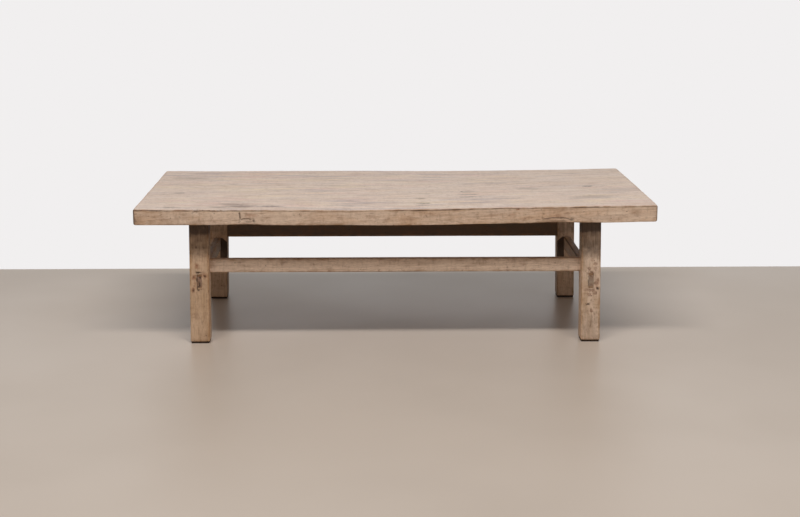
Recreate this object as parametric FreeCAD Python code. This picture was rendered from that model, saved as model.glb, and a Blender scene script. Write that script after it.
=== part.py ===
import FreeCAD, Part
import math
import os

from FreeCAD import Vector

# A low table of reclaimed elm. A thick top of three boards stands on four square legs that splay
# outwards along its length, with a long stretcher at the front and the back and a lower one at each end.
# Millimetres. X runs along the table, Y from front to back, Z up. The origin is on the floor, under the
# middle of the top. Every joint is wooden: through tenons wedged in the legs, blind tenons in the top.

# Top
top_length = 1600.0
front_board_width = 285.0
middle_board_width = 167.0
rear_board_width = 304.0
top_corner_easing = 6.0
top_upper_easing = 4.0
top_lower_easing = 2.0

# Bow of the top: two straight stretches that meet at its lowest place, right of the middle
bow_place = 45.0
underside_height = 385.5
bow_thickness = 48.5
left_end_thickness = 48.0
right_end_thickness = 51.0
left_end_rise = 2.0
right_end_rise = 8.5

# Wane along the front lower arris, as scoops at shares of half the top's length
wane_place_shares = (-0.575, -0.235, 0.615)
wane_lengths = (106.0, 200.0, 138.0)
wane_heights = (4.0, 2.2, 5.0)
wane_depths = (11.0, 8.0, 13.0)

# Legs
leg_section = 60.0
leg_setback = 54.0
leg_end_setback = 164.0
leg_splay = 7.0
leg_easing = 3.5
leg_tenon_section = 32.0
leg_tenon_length = 34.0

# Foot pads
pad_thickness = 6.0
pad_inset = 2.0
pad_easing = 3.0

# Long stretchers, at the front and the back
long_stretcher_bottom = 221.0
front_stretcher_height = 43.0
rear_stretcher_height = 51.0
long_stretcher_thickness = 24.0
long_stretcher_recess = 29.0
long_tenon_thickness = 14.0
long_tenon_shoulder = 4.0

# Side stretchers, one at each end, below the long ones
side_stretcher_drop = 2.0
side_stretcher_height = 43.0
side_stretcher_thickness = 24.0
side_stretcher_recess = 13.0
side_tenon_thickness = 14.0
side_tenon_shoulder = 4.0
stretcher_easing = 2.0

# Wedges above and below the end of each through tenon
wedge_length = 28.0
wedge_head_thickness = 6.0
wedge_tip_thickness = 1.0

# Blind wedges in the heads of the leg tenons
fox_wedge_length = 22.0
fox_wedge_head_thickness = 4.0
fox_wedge_tip_thickness = 1.0
fox_wedge_place_share = 0.5

# Dovetailed battens let into the underside
batten_mouth_width = 50.0
batten_flare = 6.0
batten_depth = 15.0
batten_leg_gap = 115.0
batten_front_stop = 60.0

# Loose tongues in the seams between the boards
tongue_count = 4
tongue_length = 90.0
tongue_width = 40.0
tongue_thickness = 12.0

# How far cutting shapes run past what they cut
overrun = 10.0

# Worked out from the sizes above
top_width = front_board_width + middle_board_width + rear_board_width
front_edge = -top_width / 2
back_edge = top_width / 2
front_seam = front_edge + front_board_width
rear_seam = back_edge - rear_board_width
leg_face = back_edge - leg_setback
leg_back_face = leg_face - leg_section
long_stretcher_face = leg_face - long_stretcher_recess
side_stretcher_top = long_stretcher_bottom - side_stretcher_drop
side_stretcher_bottom = side_stretcher_top - side_stretcher_height

LEFT, RIGHT = -1, 1
FRONT, REAR = -1, 1
DOWN, UP = -1, 1
ALONG_X, ALONG_Y, UPRIGHT = 0, 1, 2
CORNERS = {"front_left": (LEFT, FRONT), "front_right": (RIGHT, FRONT), "rear_left": (LEFT, REAR),
           "rear_right": (RIGHT, REAR)}


def underside_at(place):
    """Height of the top's underside at a place along its length."""
    if place < bow_place:
        return underside_height + left_end_rise * (bow_place - place) / (bow_place + top_length / 2)
    return underside_height + right_end_rise * (place - bow_place) / (top_length / 2 - bow_place)


def leg_outer_face(height):
    """Distance from the middle of the table to the legs' end faces at a height."""
    splay_share = (underside_height - height) / underside_height
    return top_length / 2 - leg_end_setback + leg_splay * splay_share


def leg_inner_face(height):
    """Distance from the middle of the table to the legs' inner faces at a height."""
    return leg_outer_face(height) - leg_section


def leg_centre(height):
    """Distance from the middle of the table to the legs' centre lines at a height."""
    return leg_outer_face(height) - leg_section / 2


def leg_tenon_top(side):
    """Height of the blind end of the leg tenons on one side."""
    return underside_at(side * leg_centre(underside_height)) + leg_tenon_length


def prism_along_y(outline, start, depth):
    """A straight solid from an outline of (x, z) points, running from a start along +Y."""
    points = [Vector(x, start, z) for x, z in outline]
    face = Part.Face(Part.makePolygon(points + points[:1]))
    return face.extrude(Vector(0, depth, 0))


def prism_along_x(outline, start, depth):
    """A straight solid from an outline of (y, z) points, running from a start along +X."""
    points = [Vector(start, y, z) for y, z in outline]
    face = Part.Face(Part.makePolygon(points + points[:1]))
    return face.extrude(Vector(depth, 0, 0))


def box_between(low, high):
    """A box between two opposite corners."""
    size = high - low
    return Part.makeBox(size.x, size.y, size.z, low)


def ease(shape, radius, belongs):
    """Round the edges of a shape for which belongs(edge) holds."""
    edges = [edge for edge in shape.Edges if belongs(edge)]
    return shape.makeFillet(radius, edges)


def runs(direction):
    """A test of whether an edge runs mostly along X, along Y or upright."""
    def belongs(edge):
        box = edge.BoundBox
        spans = (box.XLength, box.YLength, box.ZLength)
        return spans[direction] == max(spans)
    return belongs


def wane_scoop(place_share, length, height, depth):
    """A ball that takes a scoop of a length, height and depth out of the front lower arris."""
    place = place_share * top_length / 2
    half_chord = length / 2
    below = (half_chord ** 2 - height ** 2) / (2 * height)
    ahead = (half_chord ** 2 - depth ** 2) / (2 * depth)
    radius = math.sqrt(half_chord ** 2 + below ** 2 + ahead ** 2)
    return Part.makeSphere(radius, Vector(place, front_edge - ahead, underside_at(place) - below))


def plank_blank():
    """The whole bowed top before it is parted into boards, with eased edges and wane."""
    left, right = -top_length / 2, top_length / 2
    outline = [(left, underside_at(left)), (bow_place, underside_height), (right, underside_at(right)),
               (right, underside_at(right) + right_end_thickness),
               (bow_place, underside_height + bow_thickness), (left, underside_at(left) + left_end_thickness)]
    blank = prism_along_y(outline, front_edge, top_width)

    half_height = underside_height + bow_thickness / 2
    blank = ease(blank, top_corner_easing, runs(UPRIGHT))
    blank = ease(blank, top_upper_easing, lambda edge: edge.BoundBox.ZMin > half_height)
    blank = ease(blank, top_lower_easing, lambda edge: edge.BoundBox.ZMax < half_height)
    scoops = [wane_scoop(*sizes) for sizes in zip(wane_place_shares, wane_lengths, wane_heights, wane_depths)]
    return blank.cut(scoops)


def leg_tenon_room(side, end):
    """The space that a leg's tenon fills in the top."""
    centre_x = side * leg_centre(underside_height)
    centre_y = end * (leg_face - leg_section / 2)
    half = leg_tenon_section / 2
    low = Vector(centre_x - half, centre_y - half, underside_height - overrun)
    high = Vector(centre_x + half, centre_y + half, leg_tenon_top(side))
    return box_between(low, high)


def batten_room(place):
    """The dovetailed space of a batten at a place along the top, open at the underside and the back."""
    half_mouth = batten_mouth_width / 2
    half_root = half_mouth + batten_flare
    half_below = half_mouth - batten_flare * overrun / batten_depth
    below = underside_at(place) - overrun
    root = underside_at(place) + batten_depth
    outline = [(place - half_below, below), (place + half_below, below), (place + half_root, root),
               (place - half_root, root)]
    start = front_edge + batten_front_stop
    return prism_along_y(outline, start, back_edge + overrun - start)


def batten_places():
    """Places of the battens along the top: one in the middle and one inside each pair of legs."""
    offset = leg_inner_face(underside_height) - batten_leg_gap - batten_mouth_width / 2 - batten_flare
    return -offset, 0, offset


def seam_tongues(seam):
    """The loose tongues in a seam, halfway between the battens and beyond the outer ones."""
    pitch = batten_places()[-1]
    half_size = Vector(tongue_length / 2, tongue_width / 2, tongue_thickness / 2)
    tongues = []
    for index in range(tongue_count):
        place = (index - (tongue_count - 1) / 2) * pitch
        centre = Vector(place, seam, underside_at(place) + bow_thickness / 2)
        tongues.append(box_between(centre - half_size, centre + half_size))
    return tongues


def board(blank, front, back, pierced_by):
    """One board of the top between two lines across it, with its mortises, housings and slots."""
    box = blank.BoundBox
    low = Vector(box.XMin - overrun, front, box.ZMin - overrun)
    high = Vector(box.XMax + overrun, back, box.ZMax + overrun)
    return blank.common(box_between(low, high)).cut(pierced_by)


def long_stretcher_top(end):
    """Height of the top of the long stretcher at the front or the back."""
    return long_stretcher_bottom + (front_stretcher_height if end == FRONT else rear_stretcher_height)


def long_tenon_ends(end):
    """Lower and upper faces of the tenons of the long stretcher at the front or the back."""
    return long_stretcher_bottom + long_tenon_shoulder, long_stretcher_top(end) - long_tenon_shoulder


def side_tenon_ends():
    """Lower and upper faces of the side stretchers' tenons."""
    return side_stretcher_bottom + side_tenon_shoulder, side_stretcher_top - side_tenon_shoulder


def along_both_legs(face_at, low, high):
    """Outline in (x, z) that reaches from the left legs to the right ones, up to their sloping faces."""
    return [(-face_at(low), low), (face_at(low), low), (face_at(high), high), (-face_at(high), high)]


def start_from(face, thickness, end):
    """Where a slab of a thickness starts along Y, when its outer face lies at a distance on that end."""
    return -face if end == FRONT else face - thickness


def long_tenon_start(end):
    """Where the long stretchers' tenons start along Y, in the middle of the stretchers' thickness."""
    cheek = (long_stretcher_thickness - long_tenon_thickness) / 2
    return start_from(long_stretcher_face - cheek, long_tenon_thickness, end)


def long_stretcher(end):
    """A long stretcher with its two through tenons."""
    body_outline = along_both_legs(leg_inner_face, long_stretcher_bottom, long_stretcher_top(end))
    body_start = start_from(long_stretcher_face, long_stretcher_thickness, end)
    body = prism_along_y(body_outline, body_start, long_stretcher_thickness)
    body = ease(body, stretcher_easing, runs(ALONG_X))
    tenon_outline = along_both_legs(leg_outer_face, *long_tenon_ends(end))
    tenons = prism_along_y(tenon_outline, long_tenon_start(end), long_tenon_thickness)
    return body.fuse(tenons).removeSplitter()


def side_stretcher_places():
    """Distances from the middle of the table to a side stretcher's outer, tenon and inner faces."""
    middle_height = (side_stretcher_bottom + side_stretcher_top) / 2
    outer = leg_outer_face(middle_height) - side_stretcher_recess
    inner = outer - side_stretcher_thickness
    return outer, inner + side_tenon_thickness, inner


def side_box(side, near, far, half_depth, low, high):
    """A box on one side of the table between two distances from its middle, even about the X axis."""
    first, second = sorted((side * near, side * far))
    return box_between(Vector(first, -half_depth, low), Vector(second, half_depth, high))


def side_stretcher(side):
    """A side stretcher with its two through tenons, which are flush with its inner face."""
    outer, tenon_face, inner = side_stretcher_places()
    body = side_box(side, inner, outer, leg_back_face, side_stretcher_bottom, side_stretcher_top)
    body = ease(body, stretcher_easing, runs(ALONG_Y))
    tenons = side_box(side, inner, tenon_face, leg_face, *side_tenon_ends())
    return body.fuse(tenons).removeSplitter()


def wedge_outline(face_at, base, away, sign):
    """Outline of a wedge on a tenon's face, in distances from the middle of the table and heights."""
    head = base + away * wedge_head_thickness
    tip = base + away * wedge_tip_thickness
    inside = face_at(base) - wedge_length
    outline = [(face_at(base), base), (face_at(head), head), (inside, tip), (inside, base)]
    return [(sign * distance, height) for distance, height in outline]


def long_tenon_wedges():
    """The wedges above and below each end of the long stretchers' tenons."""
    wedges = []
    for side, end in CORNERS.values():
        for base, away in zip(long_tenon_ends(end), (DOWN, UP)):
            outline = wedge_outline(leg_outer_face, base, away, side)
            wedges.append(prism_along_y(outline, long_tenon_start(end), long_tenon_thickness))
    return wedges


def side_tenon_wedges():
    """The wedges above and below each end of the side stretchers' tenons."""
    tenon_face, inner = side_stretcher_places()[1:]
    wedges = []
    for side, end in CORNERS.values():
        start = min(side * inner, side * tenon_face)
        for base, away in zip(side_tenon_ends(), (DOWN, UP)):
            outline = wedge_outline(lambda height: leg_face, base, away, end)
            wedges.append(prism_along_x(outline, start, side_tenon_thickness))
    return wedges


def fox_wedges(side, end):
    """The two blind wedges in the head of a leg's tenon."""
    centre_x = side * leg_centre(underside_height)
    start = end * (leg_face - leg_section / 2) - leg_tenon_section / 2
    half_head = fox_wedge_head_thickness / 2
    half_tip = fox_wedge_tip_thickness / 2
    head = leg_tenon_top(side)
    tip = head - fox_wedge_length
    wedges = []
    for offset in (-fox_wedge_place_share, fox_wedge_place_share):
        place = centre_x + offset * leg_tenon_section / 2
        outline = [(place - half_head, head), (place + half_head, head), (place + half_tip, tip),
                   (place - half_tip, tip)]
        wedges.append(prism_along_y(outline, start, leg_tenon_section))
    return wedges


def leg(side, end, pierced_top, pierced_by):
    """A leg with its tenon, scribed to the underside of the top and mortised for the stretchers."""
    foot = pad_thickness
    head = leg_tenon_top(side)
    outline = [(side * leg_outer_face(foot), foot), (side * leg_inner_face(foot), foot),
               (side * leg_inner_face(head), head), (side * leg_outer_face(head), head)]
    post = prism_along_y(outline, start_from(leg_face, leg_section, end), leg_section)
    post = ease(post, leg_easing, runs(UPRIGHT))
    return post.cut(pierced_top).cut(pierced_by)


def foot_pad(side, end):
    """The dark pad under a leg."""
    half = leg_section / 2 - pad_inset
    centre_x = side * leg_centre(pad_thickness)
    centre_y = end * (leg_face - leg_section / 2)
    low = Vector(centre_x - half, centre_y - half, 0)
    high = Vector(centre_x + half, centre_y + half, pad_thickness)
    return ease(box_between(low, high), pad_easing, runs(UPRIGHT))


def build():
    """Every piece of the table, by name."""
    blank = plank_blank()
    mortises = [leg_tenon_room(*corner) for corner in CORNERS.values()]
    housings = [batten_room(place) for place in batten_places()]
    front_tongues = seam_tongues(front_seam)
    rear_tongues = seam_tongues(rear_seam)
    long_wedges = long_tenon_wedges()
    side_wedges = side_tenon_wedges()
    leg_wedges = [wedge for corner in CORNERS.values() for wedge in fox_wedges(*corner)]

    pieces = {}
    pierced_by = mortises + housings + front_tongues + rear_tongues
    board_lines = {"top_front_board": (front_edge - overrun, front_seam),
                   "top_middle_board": (front_seam, rear_seam),
                   "top_rear_board": (rear_seam, back_edge + overrun)}
    for name, (front, back) in board_lines.items():
        pieces[name] = board(blank, front, back, pierced_by)
    for name, room in zip(("left_batten", "middle_batten", "right_batten"), housings):
        pieces[name] = blank.common(room)
    pieces["front_seam_tongues"] = Part.makeCompound(front_tongues)
    pieces["rear_seam_tongues"] = Part.makeCompound(rear_tongues)

    stretchers = {"front_stretcher": long_stretcher(FRONT), "rear_stretcher": long_stretcher(REAR),
                  "left_stretcher": side_stretcher(LEFT), "right_stretcher": side_stretcher(RIGHT)}
    pieces.update(stretchers)
    pierced_top = blank.cut(mortises)
    leg_cutters = list(stretchers.values()) + long_wedges + side_wedges + leg_wedges
    for name, corner in CORNERS.items():
        pieces[name + "_leg"] = leg(*corner, pierced_top, leg_cutters)
        pieces[name + "_foot_pad"] = foot_pad(*corner)
    pieces["long_tenon_wedges"] = Part.makeCompound(long_wedges)
    pieces["side_tenon_wedges"] = Part.makeCompound(side_wedges)
    pieces["leg_tenon_wedges"] = Part.makeCompound(leg_wedges)
    return pieces


os.makedirs("parts", exist_ok=True)
for piece_name, shape in build().items():
    shape.exportStep("parts/" + piece_name + ".step")
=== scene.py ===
import math
from collections import namedtuple

import bmesh
import bpy
from bpy.props import FloatProperty, FloatVectorProperty, PointerProperty
from mathutils import Euler, Matrix, Vector, noise
from mathutils.geometry import intersect_point_line


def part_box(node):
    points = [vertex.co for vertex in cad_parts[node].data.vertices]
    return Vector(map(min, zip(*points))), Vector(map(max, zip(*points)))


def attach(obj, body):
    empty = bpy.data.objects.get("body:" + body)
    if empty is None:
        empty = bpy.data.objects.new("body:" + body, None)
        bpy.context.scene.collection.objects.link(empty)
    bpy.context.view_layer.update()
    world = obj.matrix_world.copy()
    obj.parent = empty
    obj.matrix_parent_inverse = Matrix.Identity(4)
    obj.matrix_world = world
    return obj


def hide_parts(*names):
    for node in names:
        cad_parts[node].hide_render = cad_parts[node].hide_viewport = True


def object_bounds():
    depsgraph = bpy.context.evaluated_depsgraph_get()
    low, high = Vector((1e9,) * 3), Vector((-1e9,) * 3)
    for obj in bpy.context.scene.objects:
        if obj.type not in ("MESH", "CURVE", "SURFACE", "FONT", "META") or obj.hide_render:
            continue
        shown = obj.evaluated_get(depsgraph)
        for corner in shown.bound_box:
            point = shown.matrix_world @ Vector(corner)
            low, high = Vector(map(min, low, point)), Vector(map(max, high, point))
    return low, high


# A low table of reclaimed elm: three bowed boards on four splayed legs, with wedged through tenons.
# Metres. X runs along the table, Y from front to back, Z up. The origin is on the floor under the top.

bl_info = {
    "name": "Low elm table",
    "version": (1, 0, 0),
    "blender": (4, 5, 0),
    "location": "3D View > Sidebar > Table",
    "description": "A low table of reclaimed elm, with its floor, light and camera",
    "category": "Object",
}

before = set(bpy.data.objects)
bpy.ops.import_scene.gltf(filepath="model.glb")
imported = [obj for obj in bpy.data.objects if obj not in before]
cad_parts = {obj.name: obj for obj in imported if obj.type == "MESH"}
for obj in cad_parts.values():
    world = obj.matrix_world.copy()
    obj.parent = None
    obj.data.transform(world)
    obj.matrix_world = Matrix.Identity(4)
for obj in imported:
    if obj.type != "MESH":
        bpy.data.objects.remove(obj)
cad_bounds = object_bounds()

X, Y, Z = 0, 1, 2
# The level axis across each of the two level ones
ACROSS = {X: Y, Y: X}
LEFT, RIGHT = -1, 1
FRONT, REAR = -1, 1
CORNERS = {
    "front_left": (LEFT, FRONT),
    "front_right": (RIGHT, FRONT),
    "rear_left": (LEFT, REAR),
    "rear_right": (RIGHT, REAR),
}

# Places nearer to each other than this count as one, for points that were cut there and for box sides
SAME_PLACE = 1e-5
SAME_SIDE = 1e-6

# What wear and age leave on the wood, each kept as a number from 0 to 1 at every point of a piece; the soil
# number also carries painted shade
BLEACH, SOIL_AND_SHADE, RUB, RUST, PUTTY, END = "bleach", "soil_and_shade", "rub", "rust", "putty", "end_grain"
TRACES = (BLEACH, SOIL_AND_SHADE, RUB, RUST, PUTTY, END)
# Soil and rust that lie as a ring, with cleaner wood in its middle
RING = "ring"

# A mark on a face: what it is, its place across and up the face, its half sizes, strength and depth
Mark = namedtuple("Mark", "kind across up half_width half_height strength depth", defaults=(0,))

# A ring mark: how far out its darkest part lies, how fast it pales on both sides, and its palest share
RING_OUT, RING_FALL, RING_LEAST = 0.55, 2.0, 0.62

# Faces that meet at more than this angle keep a sharp edge between them
SHARP_ANGLE = math.radians(38)


def marks(kind, *rows):
    """Marks of one kind, each from a row of its other values."""
    return [Mark(kind, *row) for row in rows]


def number(name, description, default, **kind):
    """A number that a user may set."""
    return FloatProperty(name=name, description=description, default=default, **kind)


def metres(name, description, default):
    """A length that a user may set."""
    return number(name, description, default, unit="LENGTH")


def angle(name, description, default):
    """An angle that a user may set."""
    return number(name, description, default, subtype="ANGLE")


def screen_colour(name, description, *channels):
    """A colour that a user may set, given as a screen shows it, with red, green and blue from 0 to 255."""
    shares = [channel / 255 for channel in channels]
    linear = [s / 12.92 if s <= 0.04045 else ((s + 0.055) / 1.055) ** 2.4 for s in shares]
    return FloatVectorProperty(name=name, description=description, default=linear, subtype="COLOR", min=0,
                               max=1)


class TopSizes(bpy.types.PropertyGroup):
    """Sizes of the three boards of the top."""
    bow_place: metres("Bow place", "Where along the table the top is lowest", 0.045)
    bow_softness: metres("Bow softness", "How far the bend of the bow spreads", 0.13)
    left_rise: metres("Left rise", "How much higher the underside is at the left end", 0.002)
    right_rise: metres("Right rise", "How much higher the underside is at the right end", 0.0085)
    thickness: metres("Thickness", "Thickness of the boards where they are lowest", 0.0485)
    left_thinning: metres("Left thinning", "How much thinner the left end is", 0.0005)
    right_thickening: metres("Right thickening", "How much thicker the right end is", 0.0025)
    corner_easing: metres("Corner easing", "Rounding of the top's four corners", 0.006)
    upper_easing: metres("Upper easing", "Rounding of the upper outer arrises", 0.0014)
    lower_easing: metres("Lower easing", "Rounding of the lower outer arrises", 0.0012)
    ball_easing: metres("Ball easing", "Rounding of the lower corners, seen from the front", 0.0075)
    nose_easing: metres("Nose easing", "Rounding of the upper corners, seen from the front", 0.0040)
    seam_easing: metres("Seam easing", "Easing of the boards along their seams", 0.0005)
    wear_depth: metres("Wear depth", "How far the arrises are worn back at most", 0.0012)
    wear_reach: metres("Wear reach", "How far from an arris its wear reaches", 0.007)
    sway: metres("Sway", "How far the faces swell and dip", 0.0007)
    relief: metres("Relief", "How far the cuts for battens lie behind their faces", 0.0004)


class FrameSizes(bpy.types.PropertyGroup):
    """Sizes of the legs and the stretchers between them."""
    leg_splay: metres("Leg splay", "How far a leg leans out between floor and top", 0.007)
    leg_easing: metres("Leg easing", "Rounding of the legs' arrises", 0.0026)
    foot_easing: metres("Foot easing", "Rounding of the legs' lower ends", 0.0015)
    stretcher_easing: metres("Stretcher easing", "Rounding of the stretchers' arrises", 0.0022)
    tenon_thickness: metres("Tenon thickness", "Thickness of every through tenon", 0.014)
    tenon_shoulder: metres("Tenon shoulder", "Step above and below a through tenon", 0.004)
    wedge_head: metres("Wedge head", "Thickness of a wedge at the leg's face", 0.006)
    mortise_gap: metres("Mortise gap", "Gap round the end of a through tenon", 0.0006)
    mortise_depth: metres("Mortise depth", "How deep that gap goes", 0.006)
    wear_depth: metres("Wear depth", "How far the arrises are worn back at most", 0.0009)
    wear_reach: metres("Wear reach", "How far from an arris its wear reaches", 0.008)
    sway: metres("Sway", "How far the faces swell and dip", 0.0005)


class WoodColours(bpy.types.PropertyGroup):
    """Colours of the aged elm and of what has got into it."""
    pale: screen_colour("Pale", "Pale wood", 230, 203, 179)
    tan: screen_colour("Tan", "Warmer wood", 211, 176, 146)
    bleached: screen_colour("Bleached", "Wood that light has faded", 230, 212, 199)
    rosy: screen_colour("Rosy", "Pinker patches of faded wood", 228, 194, 180)
    golden: screen_colour("Golden", "Yellower patches of faded wood", 237, 215, 183)
    grey: screen_colour("Grey", "Weathered wood", 186, 170, 168)
    honey: screen_colour("Honey", "Paler wood of the legs", 212, 180, 150)
    ashen: screen_colour("Ashen", "Greyer wood of the end stretchers", 170, 157, 145)
    straw: screen_colour("Straw", "Yellower wood of the legs", 196, 163, 130)
    handled: screen_colour("Handled", "Arrises that hands have browned", 166, 122, 80)
    brown: screen_colour("Brown", "Darker growth rings and pores", 124, 88, 62)
    # This colour paints shade too: under the top on the legs, beside the end stretchers and on the rear
    # legs' inner faces
    dirt_and_shade: screen_colour("Dirt", "Old dirt in cracks, holes and joints", 48, 33, 23)
    rust: screen_colour("Rust", "Stain of old iron", 148, 94, 62)
    putty: screen_colour("Putty", "Filler round the tenons", 158, 142, 122)
    # Darker wood with painted shade: the rear stretcher and the battens are darkened for the shade under
    # the top
    shaded: screen_colour("Shaded wood", "Uncleaned wood of the rear stretcher", 94, 80, 66)
    pad: screen_colour("Pad", "Pads under the legs", 46, 34, 26)


class StageSizes(bpy.types.PropertyGroup):
    """The floor, the light and the camera."""
    floor_reach: metres("Floor reach", "How far the floor runs from the table", 40.0)
    floor_colour: screen_colour("Floor colour", "Plain floor", 197, 181, 166)
    wall_place: metres("Wall place", "How far behind the table's middle the backdrop stands", 0.753)
    wall_height: metres("Wall height", "Height of the backdrop", 6.0)
    wall_reach: metres("Wall reach", "How far the backdrop runs to each side", 8.0)
    wall_colour: screen_colour("Wall colour", "Backdrop as the camera sees it", 241, 239, 239)
    sky_strength: number("Sky strength", "Soft light from all round", 0.17)
    lamp_power: number("Lamp power", "Watts of the long soft lamp", 241.0)
    lamp_length: metres("Lamp length", "Length of the lamp along the table", 4.8)
    lamp_width: metres("Lamp width", "Width of the lamp", 0.83)
    lamp_distance: metres("Lamp distance", "How far the lamp is from the table's edge", 5.4)
    lamp_lean: angle("Lamp lean", "How far the lamp stands to the front of upright", math.radians(29))
    fill_power: number("Fill power", "Watts of the lamp behind", 2.0)
    fill_length: metres("Fill length", "Length of the lamp behind", 5.0)
    fill_height: metres("Fill height", "Height of the lamp behind", 2.0)
    fill_place: metres("Fill place", "How far behind the table's middle that lamp is", 1.3)
    fill_rise: metres("Fill rise", "How high the middle of that lamp is", 1.7)
    camera_place: FloatVectorProperty(name="Camera place", description="Where the camera stands",
                                      default=(-0.0844, -4.7136, 1.2219), subtype="TRANSLATION")
    camera_pitch: angle("Camera pitch", "How far the camera looks down", 0.21344)
    camera_yaw: angle("Camera yaw", "How far the camera turns to the right", 0.02213)
    camera_roll: angle("Camera roll", "How far the camera leans to the left", 0.0011)
    camera_lens: number("Camera lens", "Focal length in millimetres", 65.12)


class TableSettings(bpy.types.PropertyGroup):
    """Everything that a user may change on the table and its stage."""
    top: PointerProperty(name="Top", description="The boards of the top", type=TopSizes)
    base: PointerProperty(name="Base", description="The legs and stretchers", type=FrameSizes)
    wood: PointerProperty(name="Wood", description="Colours of the wood", type=WoodColours)
    stage: PointerProperty(name="Stage", description="Floor, light and camera", type=StageSizes)


def settings():
    """The table's settings in this scene."""
    return bpy.context.scene.low_table


# Shapes


def block(low, high):
    """A box between two corners."""
    bm = bmesh.new()
    bmesh.ops.create_cube(bm, size=1.0)
    bmesh.ops.scale(bm, vec=high - low, verts=bm.verts)
    bmesh.ops.translate(bm, vec=(low + high) / 2, verts=bm.verts)
    return bm


def round_off(bm, edges, radius, segments):
    """Round some edges of a mesh."""
    bmesh.ops.bevel(bm, geom=edges, offset=radius, offset_type="OFFSET", segments=segments, profile=0.5,
                    affect="EDGES", clamp_overlap=True, material=-1)


def runs_along(edge, axis):
    """Whether an edge runs along an axis."""
    span = edge.verts[1].co - edge.verts[0].co
    return abs(span[axis]) > 0.999 * span.length


def all_at(edge, axis, place):
    """Whether both ends of an edge lie at a place on an axis."""
    return all(abs(vert.co[axis] - place) < SAME_SIDE for vert in edge.verts)


def axis_vector(axis, reach=1.0):
    """A vector along an axis."""
    vector = Vector()
    vector[axis] = reach
    return vector


def slice_across(bm, axis, places):
    """Cut a mesh at places along an axis, so that its faces can bend there."""
    for place in places:
        bmesh.ops.bisect_plane(bm, geom=bm.verts[:] + bm.edges[:] + bm.faces[:], dist=SAME_SIDE,
                               plane_co=axis_vector(axis, place), plane_no=axis_vector(axis))


def divide_along(bm, axis, low, high, spacing, belongs=lambda point: True):
    """Divide the edges that run along an axis between two places evenly."""
    edges = []
    for edge in bm.edges:
        first, second = sorted(vert.co[axis] for vert in edge.verts)
        if first > low - SAME_PLACE and second < high + SAME_PLACE and runs_along(edge, axis):
            if all(belongs(vert.co) for vert in edge.verts):
                edges.append(edge)
    bmesh.ops.subdivide_edges(bm, edges=edges, cuts=round((high - low) / spacing) - 1, use_grid_fill=True)


def graded(low, high, fine, coarse, reach):
    """Places between two ends, close together within a reach of each end and wider between them."""
    places = []
    place = low + fine
    while place < high - fine / 2:
        places.append(place)
        place += fine if min(place - low, high - place) < reach else coarse
    return places


def edges_along(bm, axis, *sides):
    """The edges along an axis, on one of some sides, each an axis and a place, if any are given."""
    return [edge for edge in bm.edges if runs_along(edge, axis)
            and (not sides or any(all_at(edge, *side) for side in sides))]


def drawn_from(bm, faces):
    """The points of a copy of some faces, joined to the mesh by walls in place of the faces themselves."""
    drawn = bmesh.ops.extrude_face_region(bm, geom=faces)["geom"]
    bmesh.ops.delete(bm, geom=faces, context="FACES")
    return [item for item in drawn if isinstance(item, bmesh.types.BMVert)]


def refine(bm, belongs, cuts):
    """Divide the edges whose two ends both belong to a stretch of a face."""
    edges = [edge for edge in bm.edges if all(belongs(vert.co) for vert in edge.verts)]
    bmesh.ops.subdivide_edges(bm, edges=edges, cuts=cuts, use_grid_fill=True)


def ragged(point, wave, seed):
    """An uneven value from -1 to 1 that changes over a wave length."""
    return noise.noise(point / wave + Vector((seed, 0.37 * seed, 0.61 * seed)))


def side_gap(point, low, high, axis):
    """Distance from a point in a box to the nearer of the box's two sides across an axis."""
    return min(point[axis] - low[axis], high[axis] - point[axis])


def nearer_side(point, low, high, axis):
    """Which of a box's two sides across an axis a point is nearer to, as -1 or 1."""
    return 1 if 2 * point[axis] > low[axis] + high[axis] else -1


def arris_wear(point, low, high, reach, depth, seed):
    """How a point near the arrises of a box is worn back, as a vector, and how near an arris it is.

    The wear swells and fades along the arris in two waves, with a deeper nick here and there.
    """
    gaps = [side_gap(point, low, high, axis) for axis in (X, Y, Z)]
    worn = Vector()
    nearness = 0.0
    for along in (X, Y, Z):
        first, second = (along + 1) % 3, (along + 2) % 3
        if gaps[first] > reach or gaps[second] > reach:
            continue
        close = (1 - gaps[first] / reach) * (1 - gaps[second] / reach)
        sides = [nearer_side(point, low, high, axis) for axis in (first, second)]
        track = Vector((point[along], 0.31 * sides[0], 0.53 * sides[1]))
        rough = 0.45 + 0.4 * ragged(track, 0.11, seed) + 0.3 * ragged(track, 0.028, seed + 5)
        rough += 1.2 * max(0.0, ragged(track, 0.014, seed + 9) - 0.42)
        push = depth * close * close * max(0.0, rough)
        worn[first] -= sides[0] * push
        worn[second] -= sides[1] * push
        nearness = max(nearness, close)
    return worn, nearness


def between(table, place):
    """A value between those that a table gives for rising places."""
    for (start, first), (end, second) in zip(table, table[1:]):
        if place < end:
            share = max(0.0, (place - start) / (end - start))
            return first + share * (second - first)
    return table[-1][1]


def mark_share(mark, across, up):
    """How much of a mark there is at a place on its face, from 0 to 1."""
    wide = (across - mark.across) / mark.half_width
    high = (up - mark.up) / mark.half_height
    if abs(wide) > 1.5 or abs(high) > 1.5:
        return 0.0
    place = Vector((across, up, mark.across))
    edge = 0.40 * noise.noise(place * 130) + 0.30 * noise.noise(place * 310)
    share = max(0.0, min(1.0, 1.6 * (1 - math.hypot(wide, high) + edge)))
    if mark.kind == RING:
        off_ring = abs(math.hypot(wide, high) - RING_OUT)
        share = min(share, max(RING_LEAST, min(1.0, 1.3 - RING_FALL * off_ring)))
    return share


def add_marks(vert, chosen, across, up, traces):
    """Mark a point of a face, and give how deep the marks are there."""
    depth = 0.0
    for mark in chosen:
        share = mark_share(mark, across, up)
        traces.add(vert, mark.kind, share * mark.strength)
        depth += share * mark.depth
    return depth


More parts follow.
